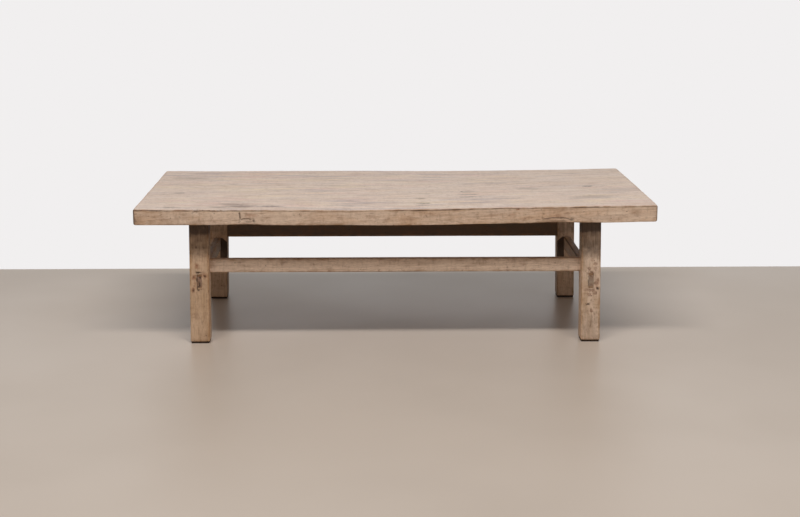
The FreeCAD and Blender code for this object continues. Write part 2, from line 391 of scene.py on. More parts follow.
def distance_to_path(point, path):
    """Distance from a point of a face to a line of points on it."""
    distances = []
    for start, end in zip(path, path[1:]):
        share = max(0.0, min(1.0, intersect_point_line(point, start, end)[1]))
        distances.append((point - start.lerp(end, share)).length)
    return min(distances)


class Traces:
    """The numbers from 0 to 1 that a piece's points carry for its material."""

    def __init__(self, bm):
        self.layers = {name: bm.verts.layers.float.new(name) for name in TRACES}

    def add(self, vert, name, amount):
        """Raise one of a point's numbers to an amount."""
        if amount <= 0:
            return
        if name == RING:
            self.add(vert, RUST, 0.65 * amount)
            self.add(vert, SOIL_AND_SHADE, 0.54 * amount)
            return
        layer = self.layers[name]
        vert[layer] = max(vert[layer], min(1.0, amount))


def in_scene(name, data):
    """An object of the scene."""
    made = bpy.data.objects.new(name, data)
    bpy.context.scene.collection.objects.link(made)
    return made


def mesh_piece(bm, name, material):
    """An object of the scene made from a mesh, with a material."""
    mesh = bpy.data.meshes.new(name)
    bm.to_mesh(mesh)
    bm.free()
    mesh.materials.append(material)
    return in_scene(name, mesh)


def finished(bm, name, material, node):
    """A piece of the table made from a mesh, which stands for one of its nodes."""
    bmesh.ops.recalc_face_normals(bm, faces=bm.faces)
    piece = mesh_piece(bm, name, material)
    piece.data.shade_smooth()
    piece.data.set_sharp_from_angle(angle=SHARP_ANGLE)
    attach(piece, "root")
    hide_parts(node)


# Places that follow the frame

top_low = Vector(cad_bounds[0])
top_high = Vector(cad_bounds[1])
half_length = top_high[X]
front_edge, back_edge = top_low[Y], top_high[Y]
front_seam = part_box("top_middle_board")[0][Y]
rear_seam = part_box("top_middle_board")[1][Y]
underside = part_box("top_middle_board")[0][Z]


class Bow:
    """The bend of the top along its length."""

    def __init__(self, top):
        self.place, self.softness = top.bow_place, top.bow_softness
        self.right_rise, self.left_rise = top.right_rise, top.left_rise
        self.thickness = top.thickness
        self.right_thickening, self.left_thinning = top.right_thickening, top.left_thinning

    def at(self, x):
        """Height of the underside, and thickness, at a place along the top."""
        along = x - self.place
        soft = math.hypot(along, self.softness)
        to_right = (soft + along) / 2 / (half_length - self.place)
        to_left = (soft - along) / 2 / (half_length + self.place)
        height = underside + self.right_rise * to_right + self.left_rise * to_left
        thickness = self.thickness + self.right_thickening * to_right - self.left_thinning * to_left
        return height, thickness


def leg_outer_face(height, base):
    """Distance from the table's middle to the outer faces of the legs at a height."""
    low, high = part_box("front_right_leg")
    return high[X] - base.leg_splay * (height - low[Z]) / underside


def leg_section():
    """Thickness of the legs."""
    low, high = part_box("front_right_leg")
    return high[Y] - low[Y]


# The top

# Wane on the front lower arris: place along the table, length, height and depth of each scoop
Scoop = namedtuple("Scoop", "place length height depth")
WANE = (
    Scoop(-0.510, 0.240, 0.0016, 0.008),
    Scoop(-0.456, 0.120, 0.0056, 0.012),
    Scoop(-0.165, 0.220, 0.0011, 0.006),
    Scoop(0.390, 0.440, 0.0015, 0.007),
    Scoop(0.480, 0.168, 0.0060, 0.014),
)

# Chips out of the front upper arris: place along the table, half length and depth
Chip = namedtuple("Chip", "place half_length depth")
CHIPS = (
    Chip(-0.609, 0.011, 0.0048),
    Chip(-0.557, 0.009, 0.0038),
    Chip(-0.541, 0.008, 0.0040),
    Chip(-0.524, 0.009, 0.0030),
    Chip(0.371, 0.005, 0.0030),
    Chip(0.405, 0.010, 0.0022),
    Chip(0.625, 0.007, 0.0014),
)

# How the upper face lies above or below the bow at its front and back edges, at places along the table
FRONT_LIFT = ((-0.80, 0.0006), (-0.50, 0), (-0.35, -0.0008), (-0.11, -0.0026), (0, -0.0010),
              (0.10, -0.0007), (0.26, 0.0015), (0.36, 0.0016), (0.48, 0.0003), (0.60, 0.0012),
              (0.70, 0.0002), (0.80, 0))
BACK_LIFT = ((-0.80, 0.0030), (-0.70, 0.0025), (-0.57, 0.0020), (-0.35, 0.0032), (-0.10, 0.0033),
             (0.07, 0.0014), (0.20, -0.0005), (0.40, -0.0015), (0.60, -0.0025), (0.80, -0.0006))

# How thick old dirt lies under the front upper arris, at places along the table
ARRIS_DIRT = ((-0.80, 0.68), (-0.55, 0.78), (-0.40, 0.66), (-0.16, 0.42), (-0.04, 0.22), (0.02, 0.66),
              (0.18, 0.78), (0.32, 0.60), (0.60, 0.66), (0.80, 0.58))

# How the front lower arris lies above or below the bow, and how thick dirt lies on it, at places along it
LOWER_LIFT = ((-0.36, 0), (-0.32, -0.0006), (-0.20, -0.0002), (-0.05, -0.0012), (0.15, -0.0014), (0.22, 0),
              (0.60, 0), (0.64, -0.0012), (0.69, -0.0008), (0.74, 0))
LOWER_DIRT = ((-0.80, 0.66), (-0.50, 0.60), (-0.34, 0.34), (-0.10, 0.22), (0.18, 0.12), (0.30, 0.50),
              (0.55, 0.60), (0.64, 0.34), (0.80, 0.34))

# How far from the front edge wane and chips reach, and how far from both long edges the rounding of the
# top's corners and the swell of its edges fade out
CUT_BAND = 0.03
CORNER_FADE = 0.03
SWELL_FADE = 0.05

# Bands of dirt: how far the middle of the first lies under the upper arris and half its height, the height
# of the one over the lower arris, and the widths of those at the front edge's ends and beside the seams
UPPER_DROP, UPPER_HALF = 0.0028, 0.0034
LOWER_HEIGHT = 0.0056
END_WIDTH = 0.0045
SEAM_WIDTH = 0.004

# How much soil a cut holds for each metre of its depth, though it never holds more than 1
SCOOP_SOIL, CHIP_SOIL = 90, 220

# Where the front edge is divided more finely for small marks, from, to and cuts, and how far back
FINE_STRETCHES = ((-0.628, -0.514, 2), (-0.486, -0.428, 5), (0.436, 0.548, 2))
FINE_BAND = 0.006

# A line on a face: its points across and up the face, half width, strength and depth
Line = namedtuple("Line", "path half_width strength depth")
FRONT_EDGE_LINES = (
    Line(((-0.4768, 0.4245), (-0.4757, 0.4170), (-0.4750, 0.4090)), 0.0050, 0.82, 0.0022),
    Line(((-0.4750, 0.4090), (-0.4766, 0.4030), (-0.4786, 0.3960)), 0.0046, 0.58, 0.0012),
    Line(((-0.4742, 0.4034), (-0.4650, 0.4066), (-0.4500, 0.4066), (-0.4420, 0.4044)), 0.0038, 0.74,
         0.0014),
    Line(((-0.6205, 0.4240), (-0.6135, 0.4282), (-0.6075, 0.4340)), 0.0014, 0.8, 0.0012),
    Line(((0.4500, 0.4040), (0.4762, 0.4078), (0.4981, 0.4074), (0.5200, 0.4060), (0.5377, 0.4010)),
         0.0034, 0.80, 0),
)

FRONT_EDGE_MARKS = (
    *marks(RUST,
        (0.3715, 0.4335, 0.007, 0.004, 1, 0.0008), (-0.444, 0.418, 0.026, 0.008, 0.42),
        (0.495, 0.412, 0.05, 0.008, 0.28), (0.355, 0.418, 0.01, 0.005, 0.45)),
    *marks(SOIL_AND_SHADE,
        (0.3725, 0.435, 0.003, 0.002, 0.7, 0.0008), (-0.609, 0.431, 0.014, 0.003, 0.55),
        (-0.548, 0.431, 0.022, 0.003, 0.55), (-0.695, 0.431, 0.02, 0.0026, 0.55),
        (-0.448, 0.3985, 0.022, 0.005, 0.5), (-0.434, 0.4, 0.008, 0.0095, 0.74, 0.0006),
        (-0.7935, 0.401, 0.008, 0.012, 0.55), (0.492, 0.3985, 0.06, 0.004, 0.45),
        (0.46, 0.404, 0.022, 0.004, 0.42), (0.506, 0.4075, 0.012, 0.004, 0.6),
        (0.5377, 0.403, 0.009, 0.006, 0.6), (0.433, 0.402, 0.012, 0.003, 0.55),
        (0.5636, 0.4128, 0.005, 0.003, 0.55, 0.0004), (0.6249, 0.4148, 0.005, 0.003, 0.6, 0.0004),
        (0.6297, 0.4015, 0.008, 0.002, 0.55, 0.0004), (0.7654, 0.4077, 0.01, 0.006, 0.35),
        (0.2356, 0.4235, 0.008, 0.004, 0.45), (0.2008, 0.4262, 0.007, 0.003, 0.4),
        (0.1398, 0.4251, 0.008, 0.003, 0.4), (-0.0757, 0.4222, 0.014, 0.003, 0.45),
        (-0.1757, 0.4093, 0.008, 0.003, 0.4), (-0.2756, 0.4118, 0.008, 0.006, 0.3),
        (-0.6591, 0.4129, 0.006, 0.003, 0.45), (-0.618, 0.4128, 0.006, 0.006, 0.3),
        (-0.7262, 0.4109, 0.012, 0.004, 0.3), (-0.188, 0.3905, 0.09, 0.0022, 0.35),
        (-0.7, 0.39, 0.1, 0.0022, 0.45)),
)

UPPER_FACE_MARKS = (
    *marks(SOIL_AND_SHADE,
        (-0.51, -0.278, 0.064, 0.03, 0.46, 0.0005), (-0.478, -0.312, 0.07, 0.032, 0.56, 0.0006),
        (-0.545, -0.333, 0.05, 0.022, 0.34, 0.0003), (-0.385, -0.313, 0.06, 0.02, 0.56, 0.0004),
        (-0.696, -0.34, 0.045, 0.02, 0.46), (-0.695, -0.075, 0.03, 0.018, 0.46),
        (-0.645, -0.057, 0.034, 0.01, 0.3), (-0.7, 0.225, 0.09, 0.04, 0.34),
        (-0.6, 0.19, 0.07, 0.02, 0.2), (0.085, -0.187, 0.026, 0.01, 0.55, 0.0003),
        (0.087, -0.2712, 0.034, 0.014, 0.7, 0.0005), (0.085, -0.305, 0.026, 0.014, 0.5),
        (0.2191, -0.064, 0.007, 0.011, 0.85, 0.001), (0.103, -0.0965, 0.016, 0.008, 0.4),
        (0.239, -0.075, 0.05, 0.009, 0.6, 0.0002), (0.236, -0.1285, 0.05, 0.008, 0.72, 0.0002),
        (0.233, -0.172, 0.05, 0.009, 0.8, 0.0002), (0.44, -0.028, 0.06, 0.034, 0.38, 0.0004),
        (0.53, -0.042, 0.08, 0.007, 0.3), (0.643, 0, 0.026, 0.014, 0.8, 0.0009),
        (0.6785, -0.008, 0.03, 0.01, 0.34), (0.635, -0.205, 0.11, 0.046, 0.36, 0.0004),
        (0.576, -0.23, 0.04, 0.02, 0.4), (0.71, -0.125, 0.06, 0.016, 0.36),
        (0.4118, -0.324, 0.02, 0.01, 0.26), (0.65, 0.285, 0.13, 0.014, 0.22),
        (0.5918, 0.1604, 0.04, 0.01, 0.2), (-0.42, 0.109, 0.11, 0.007, 0.3),
        (-0.428, -0.0571, 0.022, 0.007, 0.3), (-0.5845, -0.0685, 0.02, 0.006, 0.26),
        (-0.265, -0.188, 0.04, 0.006, 0.26), (0, 0.078, 0.06, 0.006, 0.24),
        (0.035, -0.101, 0.026, 0.006, 0.26)),
    *marks(RUST,
        (-0.5, -0.29, 0.085, 0.04, 0.2), (-0.313, -0.262, 0.05, 0.024, 0.14),
        (0.324, -0.289, 0.09, 0.03, 0.1), (-0.66, 0.33, 0.12, 0.03, 0.14)),
)


def scooped(point, scoop):
    """Where a point of the front lower arris goes when a scoop of wane is taken out, and how far it is."""
    half_chord = scoop.length / 2
    below = (half_chord ** 2 - scoop.height ** 2) / (2 * scoop.height)
    ahead = (half_chord ** 2 - scoop.depth ** 2) / (2 * scoop.depth)
    radius = math.sqrt(half_chord ** 2 + below ** 2 + ahead ** 2)
    centre = Vector((scoop.place, front_edge - ahead, underside - below))
    away = point - centre
    rough = 0.0006 * ragged(point, 0.012, scoop.place)
    dip = radius + rough - away.length
    if dip <= 0:
        return point, 0.0
    return centre + away.normalized() * (radius + rough), dip


def corner_worn(point, low, high, radius):
    """How a point near a corner moves when the corner is rounded, as it is seen from the front or back."""
    ahead = radius - side_gap(point, low, high, X)
    above = radius - side_gap(point, low, high, Z)
    edge_gap = side_gap(point, low, high, Y)
    away = math.hypot(ahead, above)
    if ahead < 0 or above < 0 or away < radius or edge_gap > CORNER_FADE:
        return Vector()
    push = (away - radius) / away * (1 - edge_gap / CORNER_FADE)
    side, upright = nearer_side(point, low, high, X), nearer_side(point, low, high, Z)
    return Vector((-side * ahead * push, 0, -upright * above * push))


def chipped(point, chip, flat_high):
    """How far a point of the front upper arris drops and moves back in a chip."""
    along = abs(point[X] - chip.place) / chip.half_length
    gap = math.hypot(point[Y] - front_edge, flat_high - point[Z]) / (3 * chip.depth)
    if along > 1 or gap > 1:
        return 0.0
    rough = 0.75 + 0.5 * ragged(point, 0.004, chip.place)
    return chip.depth * rough * (1 - along ** 3) * (1 - gap)


def line_share(line, across, up):
    """How open a line is at a place on its face, from 0 to 1."""
    reach = line.half_width
    places = [place[0] for place in line.path]
    if not min(places) - reach < across < max(places) + reach:
        return 0.0
    gap = distance_to_path(Vector((across, up)), [Vector(place) for place in line.path])
    return max(0.0, 1 - gap / reach * (1 + 0.4 * ragged(Vector((across, up, 0)), 0.004, reach)))


def mark_front_edge(vert, point, traces):
    """Mark a point of the front edge, and give how far back it moves."""
    back = add_marks(vert, FRONT_EDGE_MARKS, point[X], point[Z], traces)
    for line in FRONT_EDGE_LINES:
        share = line_share(line, point[X], point[Z])
        traces.add(vert, SOIL_AND_SHADE, share * line.strength)
        back += share * line.depth
    return back


def dirty_arrises(vert, flat, low, high, traces, seed):
    """Let old dirt lie along the two arrises of the front edge."""
    under_upper = 1 - abs(high[Z] - flat[Z] - UPPER_DROP) / UPPER_HALF
    uneven = 0.85 + 0.5 * ragged(flat, 0.021, seed)
    traces.add(vert, SOIL_AND_SHADE, between(ARRIS_DIRT, flat[X]) * uneven * min(1.0, 1.6 * under_upper))
    over_lower = 1 - (flat[Z] - low[Z]) / LOWER_HEIGHT
    uneven = 1 + 0.7 * ragged(flat, 0.030, seed + 7) + max(0.0, ragged(flat, 0.009, seed + 8))
    traces.add(vert, SOIL_AND_SHADE, over_lower * uneven * between(LOWER_DIRT, flat[X]))


def cut_front_arrises(vert, flat, point, height_share, flat_high, traces):
    """Where a point near the front edge goes when wane and chips are taken out."""
    if height_share < 0.3:
        for scoop in WANE:
            if abs(flat[X] - scoop.place) < scoop.length / 2:
                point, dip = scooped(point, scoop)
                traces.add(vert, SOIL_AND_SHADE, SCOOP_SOIL * dip)
    if height_share > 0.7:
        for chip in CHIPS:
            dip = chipped(flat, chip, flat_high)
            point += Vector((0, 0.7 * dip, -dip))
            traces.add(vert, SOIL_AND_SHADE, CHIP_SOIL * dip)
    return point


def shape_board(bm, low, high, traces, seed):
    """Wear a flat board, mark it, and bend it to the bow of the top."""
    top = settings().top
    bow = Bow(top)
    reach, depth, sway, relief = top.wear_reach, top.wear_depth, top.sway, top.relief
    ball, nose = top.ball_easing, top.nose_easing
    outer_low = Vector((-half_length, front_edge, low[Z]))
    outer_high = Vector((half_length, back_edge, high[Z]))
    for vert in bm.verts:
        flat = vert.co.copy()
        height_share = (flat[Z] - low[Z]) / (high[Z] - low[Z])
        upper, lowest = height_share > 0.5, height_share < 0.02

        worn, nearness = arris_wear(flat, outer_low, outer_high, reach, depth, seed)
        point = flat + worn * (1.0 if upper else 0.35)
        point += corner_worn(flat, outer_low, outer_high, nose if upper else ball)
        traces.add(vert, RUB, nearness)
        if not lowest:
            point[Z] += sway * ragged(Vector((flat[X] * 0.35, flat[Y], 0)), 0.16, seed) * height_share
        edge_gap = side_gap(flat, outer_low, outer_high, Y)
        if edge_gap < SWELL_FADE:
            bulge = sway * ragged(Vector((flat[X], 0, flat[Z] * 2)), 0.13, seed + 3)
            point[Y] += bulge * (1 - edge_gap / SWELL_FADE)
        if flat[Y] < front_edge + CUT_BAND:
            point = cut_front_arrises(vert, flat, point, height_share, high[Z], traces)

        height, thickness = bow.at(point[X])
        point[Z] = height + (point[Z] - low[Z]) / (high[Z] - low[Z]) * thickness
        edge_lift = BACK_LIFT if flat[Y] > 0 else FRONT_LIFT
        nearness_to_edge = (flat[Y] / back_edge) ** 2
        point[Z] += between(edge_lift, flat[X]) * nearness_to_edge * height_share
        if flat[Y] < 0:
            point[Z] += between(LOWER_LIFT, flat[X]) * nearness_to_edge * (1 - height_share)

        if flat[Y] < front_edge + SAME_PLACE:
            point[Y] += mark_front_edge(vert, point, traces)
            dirty_arrises(vert, flat, low, high, traces, seed)
        if flat[Y] < front_edge + 0.02 and abs(flat[X]) > half_length - END_WIDTH:
            traces.add(vert, SOIL_AND_SHADE, 0.66 if flat[X] < 0 else 0.42)
        if flat[Z] > high[Z] - SAME_PLACE:
            traces.add(vert, BLEACH, 1.0)
            point[Z] -= add_marks(vert, UPPER_FACE_MARKS, point[X], point[Y], traces)
        elif height_share > 0.97:
            traces.add(vert, BLEACH, 0.5)
        if lowest:
            point[Z] += relief
            traces.add(vert, SOIL_AND_SHADE, 0.3)
        if abs(flat[X]) > half_length - SAME_PLACE:
            traces.add(vert, END, 1.0)
        seam_gap = min(abs(flat[Y] - front_seam), abs(flat[Y] - rear_seam))
        if seam_gap < SEAM_WIDTH:
            strength = 0.20 + 0.32 * ragged(Vector((flat[X], seed, 0)), 0.13, seed)
            traces.add(vert, SOIL_AND_SHADE, strength * (1 - seam_gap / SEAM_WIDTH))
        point[Y] = max(front_edge, min(back_edge - relief, point[Y]))
        vert.co = point


def make_board(name, node, seed, heart, tilt):
    """Make one board of the top."""
    top = settings().top
    low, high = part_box(node)
    low = Vector((-half_length, low[Y], underside))
    high = Vector((half_length, high[Y], underside + top.thickness))
    bm = block(low, high)
    sides = [(Y, low[Y]), (Y, high[Y])]
    outer_sides = [side for side in sides if side[1] in (front_edge, back_edge)]
    seams = [side for side in sides if side not in outer_sides]
    if outer_sides:
        round_off(bm, edges_along(bm, Z, *outer_sides), top.corner_easing, 5)
    for level, easing in ((high[Z], top.upper_easing), (low[Z], top.lower_easing)):
        outer = [edge for edge in bm.edges
                 if all_at(edge, Z, level) and not any(all_at(edge, *seam) for seam in seams)]
        round_off(bm, outer, easing, 4)
    round_off(bm, edges_along(bm, X, *seams), top.seam_easing, 2)

    end_reach, end_cuts, side_cuts, side_step, spacing = 0.012, 4, 6, 0.0025, 0.005
    side_reach = side_cuts * side_step
    slice_across(bm, Y, [low[Y] + side_step * (cut + 1) for cut in range(side_cuts)])
    slice_across(bm, Y, [high[Y] - side_step * (cut + 1) for cut in range(side_cuts)])
    slice_across(bm, Z, graded(low[Z], high[Z], fine=0.0022, coarse=0.0035, reach=0.012))
    for cut in range(1, end_cuts + 1):
        inwards = end_reach * cut / end_cuts
        slice_across(bm, X, (low[X] + inwards, high[X] - inwards))
    divide_along(bm, X, low[X] + end_reach, high[X] - end_reach, spacing)
    divide_along(bm, Y, low[Y] + side_reach, high[Y] - side_reach, spacing,
                 lambda point: point[Z] > low[Z] + 0.003 or abs(point[X]) > half_length - end_reach - 1e-4)
    if low[Y] == front_edge:
        for start, end, cuts in FINE_STRETCHES:
            refine(bm, lambda point: point[Y] < front_edge + FINE_BAND and start < point[X] < end, cuts)
    shape_board(bm, low, high, Traces(bm), seed)
    wood = settings().wood
    material = elm(name + "_elm", wood.pale, wood.tan, heart, X, tilt, seed)
    finished(bm, name, material, node)


class TABLE_OT_top_boards(bpy.types.Operator):
    """Make the three boards of the top"""
    bl_idname = "low_table.top_boards"
    bl_label = "Top boards"

    def execute(self, context):
        make_board("front_board", "top_front_board", 1.3, (0, -0.235, 0.330), (0.0, 0.035, 0.020))
        make_board("middle_board", "top_middle_board", 2.7, (0, -0.010, 0.300), (0.0, -0.030, -0.012))
        make_board("rear_board", "top_rear_board", 4.1, (0, 0.240, 0.345), (0.0, -0.022, 0.030))
        return {"FINISHED"}


# Legs

LEG_MARKS = {
    "front_left": (
        *marks(SOIL_AND_SHADE,
            (-0.611, 0.2, 0.02, 0.04, 0.3), (-0.615, 0.25, 0.0045, 0.0045, 0.45, 0.0004),
            (-0.61, 0.2278, 0.012, 0.0034, 0.95, 0.001), (-0.6165, 0.2262, 0.005, 0.005, 0.75, 0.0008),
            (-0.6084, 0.2138, 0.0062, 0.0064, 1, 0.001), (-0.6174, 0.204, 0.0036, 0.011, 0.8, 0.0008),
            (-0.611, 0.19, 0.0042, 0.016, 0.95, 0.001), (-0.6128, 0.1777, 0.008, 0.008, 1.1, 0.0012),
            (-0.604, 0.185, 0.0035, 0.009, 0.5, 0.0004), (-0.5916, 0.2156, 0.007, 0.0062, 0.8, 0.0008),
            (-0.6262, 0.213, 0.0045, 0.0045, 0.55), (-0.628, 0.17, 0.0055, 0.008, 0.75, 0.0006),
            (-0.618, 0.308, 0.011, 0.0075, 0.8), (-0.594, 0.307, 0.0095, 0.0065, 0.68),
            (-0.612, 0.288, 0.01, 0.0065, 0.6), (-0.624, 0.135, 0.005, 0.008, 0.4),
            (-0.605, 0.07, 0.006, 0.012, 0.35)),
        *marks(RUST,
            (-0.6155, 0.2494, 0.009, 0.011, 0.7), (-0.5916, 0.217, 0.012, 0.012, 0.65),
            (-0.6252, 0.212, 0.0085, 0.011, 0.8, 0.0004), (-0.6285, 0.171, 0.008, 0.011, 0.7),
            (-0.6226, 0.19, 0.006, 0.018, 0.45)),
        *marks(PUTTY,
            (-0.611, 0.219, 0.008, 0.004, 0.45), (-0.606, 0.196, 0.0034, 0.012, 0.4, 0.0003)),
    ),
    "front_right": (
        *marks(SOIL_AND_SHADE,
            (0.613, 0.045, 0.06, 0.085, 0.32), (0.602, 0.195, 0.0028, 0.013, 0.6, 0.0006),
            (0.6316, 0.1726, 0.0072, 0.0062, 1, 0.001), (0.6017, 0.1212, 0.008, 0.0052, 0.85, 0.0008),
            (0.599, 0.302, 0.011, 0.0045, 0.74), (0.622, 0.3, 0.01, 0.0045, 0.66),
            (0.59, 0.281, 0.0065, 0.0055, 0.55), (0.61, 0.313, 0.022, 0.0055, 0.6)),
        *marks(PUTTY,
            (0.6095, 0.2, 0.013, 0.03, 0.85)),
        *marks(RING,
            (0.6111, 0.2636, 0.0075, 0.0075, 0.65, 0.0004), (0.6221, 0.2495, 0.0078, 0.007, 0.85, 0.0008),
            (0.6038, 0.2365, 0.0085, 0.0082, 0.85, 0.0008), (0.6219, 0.2364, 0.008, 0.0074, 0.7, 0.0006),
            (0.6093, 0.2198, 0.013, 0.011, 1, 0.001), (0.6097, 0.205, 0.01, 0.01, 0.75, 0.0006),
            (0.6104, 0.1817, 0.0095, 0.0085, 0.8, 0.0006), (0.6308, 0.1996, 0.0075, 0.008, 0.8, 0.0006),
            (0.6258, 0.1896, 0.008, 0.0078, 0.95, 0.0008), (0.595, 0.1689, 0.007, 0.007, 0.75, 0.0006),
            (0.6052, 0.1656, 0.0085, 0.0075, 0.9, 0.0008), (0.6149, 0.1662, 0.0085, 0.0075, 0.85, 0.0008),
            (0.623, 0.1575, 0.009, 0.008, 0.9, 0.0008), (0.6055, 0.1534, 0.0085, 0.0075, 0.75, 0.0006),
            (0.614, 0.1017, 0.0072, 0.0085, 0.95, 0.0008)),
        *marks(RUST,
            (0.629, 0.19, 0.009, 0.026, 0.55)),
    ),
    "rear_left": (
        *marks(SOIL_AND_SHADE,
            (-0.609, 0.223, 0.007, 0.0035, 0.75, 0.0008), (-0.61, 0.1735, 0.0075, 0.0035, 0.75, 0.0008),
            (-0.596, 0.29, 0.005, 0.006, 0.45, 0.0008)),
        *marks(PUTTY,
            (-0.6035, 0.198, 0.003, 0.015, 0.6, 0.0003)),
    ),
    "rear_right": (
        *marks(SOIL_AND_SHADE,
            (0.609, 0.2235, 0.008, 0.0035, 0.75, 0.0008), (0.61, 0.173, 0.0075, 0.0035, 0.75, 0.0008),
            (0.626, 0.13, 0.005, 0.006, 0.45, 0.0008)),
        *marks(PUTTY,
            (0.6155, 0.195, 0.003, 0.014, 0.6, 0.0003)),
    ),
}

# How dark the painted shade under the top lies on the legs' upper ends, by height
LEFT_HEAD_SHADE = ((0.262, 0.0), (0.288, 0.48), (0.335, 0.50), (0.346, 0.64), (0.356, 1.06), (0.390, 1.18))
RIGHT_HEAD_SHADE = ((0.236, 0.0), (0.262, 0.24), (0.290, 0.62), (0.312, 0.56), (0.330, 0.46), (0.347, 0.58),
               (0.357, 1.12), (0.390, 1.22))
REAR_HEAD_SHADE = ((0.217, 0.0), (0.243, 0.50), (0.290, 0.54), (0.301, 0.64), (0.311, 1.00), (0.390, 1.10))
HEAD_SHADE = {"front_left": LEFT_HEAD_SHADE, "front_right": RIGHT_HEAD_SHADE, "rear_left": REAR_HEAD_SHADE,
         "rear_right": REAR_HEAD_SHADE}

# How much farther the head of a leg stands out than its splay alone gives
EXTRA_LEANS = {"front_left": 0.0022, "front_right": 0.0006, "rear_left": 0.0, "rear_right": 0.0}

# How far a leg's head runs on above the top's underside, and how high over its end the foot is cut
HEAD_OVERLAP = 0.006
FOOT_CUTS = (0.0025, 0.005, 0.0075)

# Between which heights a leg's mesh is fine enough for the marks round its joints
JOINT_LOW, JOINT_HIGH = 0.092, 0.274

# How near to a leg's two inner faces a point counts as on them
INNER_FACE_MARGIN, INNER_SIDE_MARGIN = 0.004, 0.0015

# How high dirt climbs a foot, and how far above and below its tenon a leg's face is kept flat
FOOT_DIRT_HEIGHT = 0.012
CALM_REACH = 0.08

# Painted shadow of an end stretcher on a leg's inner face: how far it runs, where and how steeply its upper
# edge starts to fall, and from which height and over how much it comes to its full darkness
CORNER_REACH = 0.05
CORNER_START, CORNER_FALL = 0.006, 0.85
CORNER_LOW, CORNER_GROWTH = 0.110, 0.035

Opening = namedtuple("Opening", "across low high bottom top")


def stretcher_shadow(point, rail_side, rail_top):
    """How dark the painted shadow of the end stretcher is on a leg's inner face, in a slope down away from
    it.
    """
    away = rail_side - abs(point[X])
    if not -0.002 < away < CORNER_REACH:
        return 0.0
    top = rail_top + 0.002 - CORNER_FALL * max(0.0, away - CORNER_START) + 0.003 * ragged(point, 0.02, 3.1)
    return max(0.0, min(1.0, (top - point[Z]) / 0.004, (point[Z] - CORNER_LOW) / CORNER_GROWTH))


def tenon_sides(node, along, base):
    """The two sides of a stretcher's tenons: in its middle, or at the inner side of an end stretcher."""
    low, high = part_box(node)
    if along == X:
        first = (low[Y] + high[Y] - base.tenon_thickness) / 2
    else:
        first = low[X] if low[X] > 0 else high[X] - base.tenon_thickness
    return first, first + base.tenon_thickness


def tenon_opening(node, along, base):
    """Where a stretcher's tenon and wedges show on the face that they come out of."""
    low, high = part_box(node)
    first, second = tenon_sides(node, along, base)
    gap = base.mortise_gap
    reach = base.wedge_head - base.tenon_shoulder + gap
    return Opening(ACROSS[along], first - gap, second + gap, low[Z] - reach, high[Z] + reach)


def sink_opening(bm, opening, facing, sign, least, depth):
    """Sink the part of a face inside an opening straight in, so that it has walls and a bottom."""
    slice_across(bm, opening.across, (opening.low, opening.high))
    slice_across(bm, Z, (opening.bottom, opening.top))
    faces = []
    for face in bm.faces:
        centre = face.calc_center_median()
        inside = (opening.low < centre[opening.across] < opening.high
                  and opening.bottom < centre[Z] < opening.top)
        if inside and sign * centre[facing] > least and sign * face.normal[facing] > 0.9:
            faces.append(face)
    verts = drawn_from(bm, faces)
    bmesh.ops.translate(bm, vec=axis_vector(facing, -sign * depth), verts=verts)
    return verts


def shape_leg(bm, name, low, high, hidden, traces, seed):
    """Wear and mark a leg, paint shade on it under the top, beside the end stretcher and on a rear leg's
    inner side face, and fill its mortises with dirt.
    """
    base = settings().base
    side, end = CORNERS[name]
    section = leg_section()
    outer = leg_outer_face(low[Z], base)
    face_gap = abs(low[Y] if end == FRONT else high[Y])
    rail_low, rail_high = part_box("right_stretcher")
    rail_middle = (rail_low[Z] + rail_high[Z]) / 2
    upper_end = high + axis_vector(Z, 0.1)
    for vert in bm.verts:
        if vert in hidden:
            traces.add(vert, SOIL_AND_SHADE, 1.0)
            continue
        lean = side * base.leg_splay * (vert.co[Z] - low[Z]) / underside
        flat = vert.co + axis_vector(X, lean)
        worn, nearness = arris_wear(flat, low, upper_end, base.wear_reach, base.wear_depth, seed)
        point = vert.co + worn
        traces.add(vert, RUB, nearness)
        # Painted shade of the top on the leg's upper end, in uneven steps by height
        uneven_height = flat[Z] + 0.010 * ragged(flat, 0.030, seed)
        uneven_layer = 1 + 0.30 * ragged(flat, 0.012, seed + 4)
        traces.add(vert, SOIL_AND_SHADE, between(HEAD_SHADE[name], uneven_height) * uneven_layer)
        # Painted shadow of the end stretcher beside this face
        if abs(flat[Y]) < face_gap - section + INNER_FACE_MARGIN:
            traces.add(vert, SOIL_AND_SHADE, 1.1 * stretcher_shadow(vert.co, rail_low[X], rail_high[Z]))
        # Painted shade on the rear legs' inner side faces
        if end == REAR and abs(flat[X]) < outer - section + INNER_SIDE_MARGIN:
            traces.add(vert, SOIL_AND_SHADE, 0.52)
        calm = 1.0
        if abs(abs(flat[Y]) - face_gap) < SAME_PLACE:
            point[Y] -= end * add_marks(vert, LEG_MARKS[name], vert.co[X], vert.co[Z], traces)
            calm = min(1.0, abs(flat[Z] - rail_middle) / CALM_REACH)
        if nearness < 0.5:
            swell = base.sway * ragged(Vector((flat[X], flat[Y], flat[Z] * 0.8)), 0.05, seed + 2)
            point[Y] += swell * calm * (1 - 2 * nearness)
        if flat[Z] < low[Z] + SAME_PLACE:
            traces.add(vert, END, 1.0)
        traces.add(vert, SOIL_AND_SHADE, 0.06 * (1 - (flat[Z] - low[Z]) / FOOT_DIRT_HEIGHT))
        point[X] += side * EXTRA_LEANS[name] * flat[Z] / underside
        vert.co = point


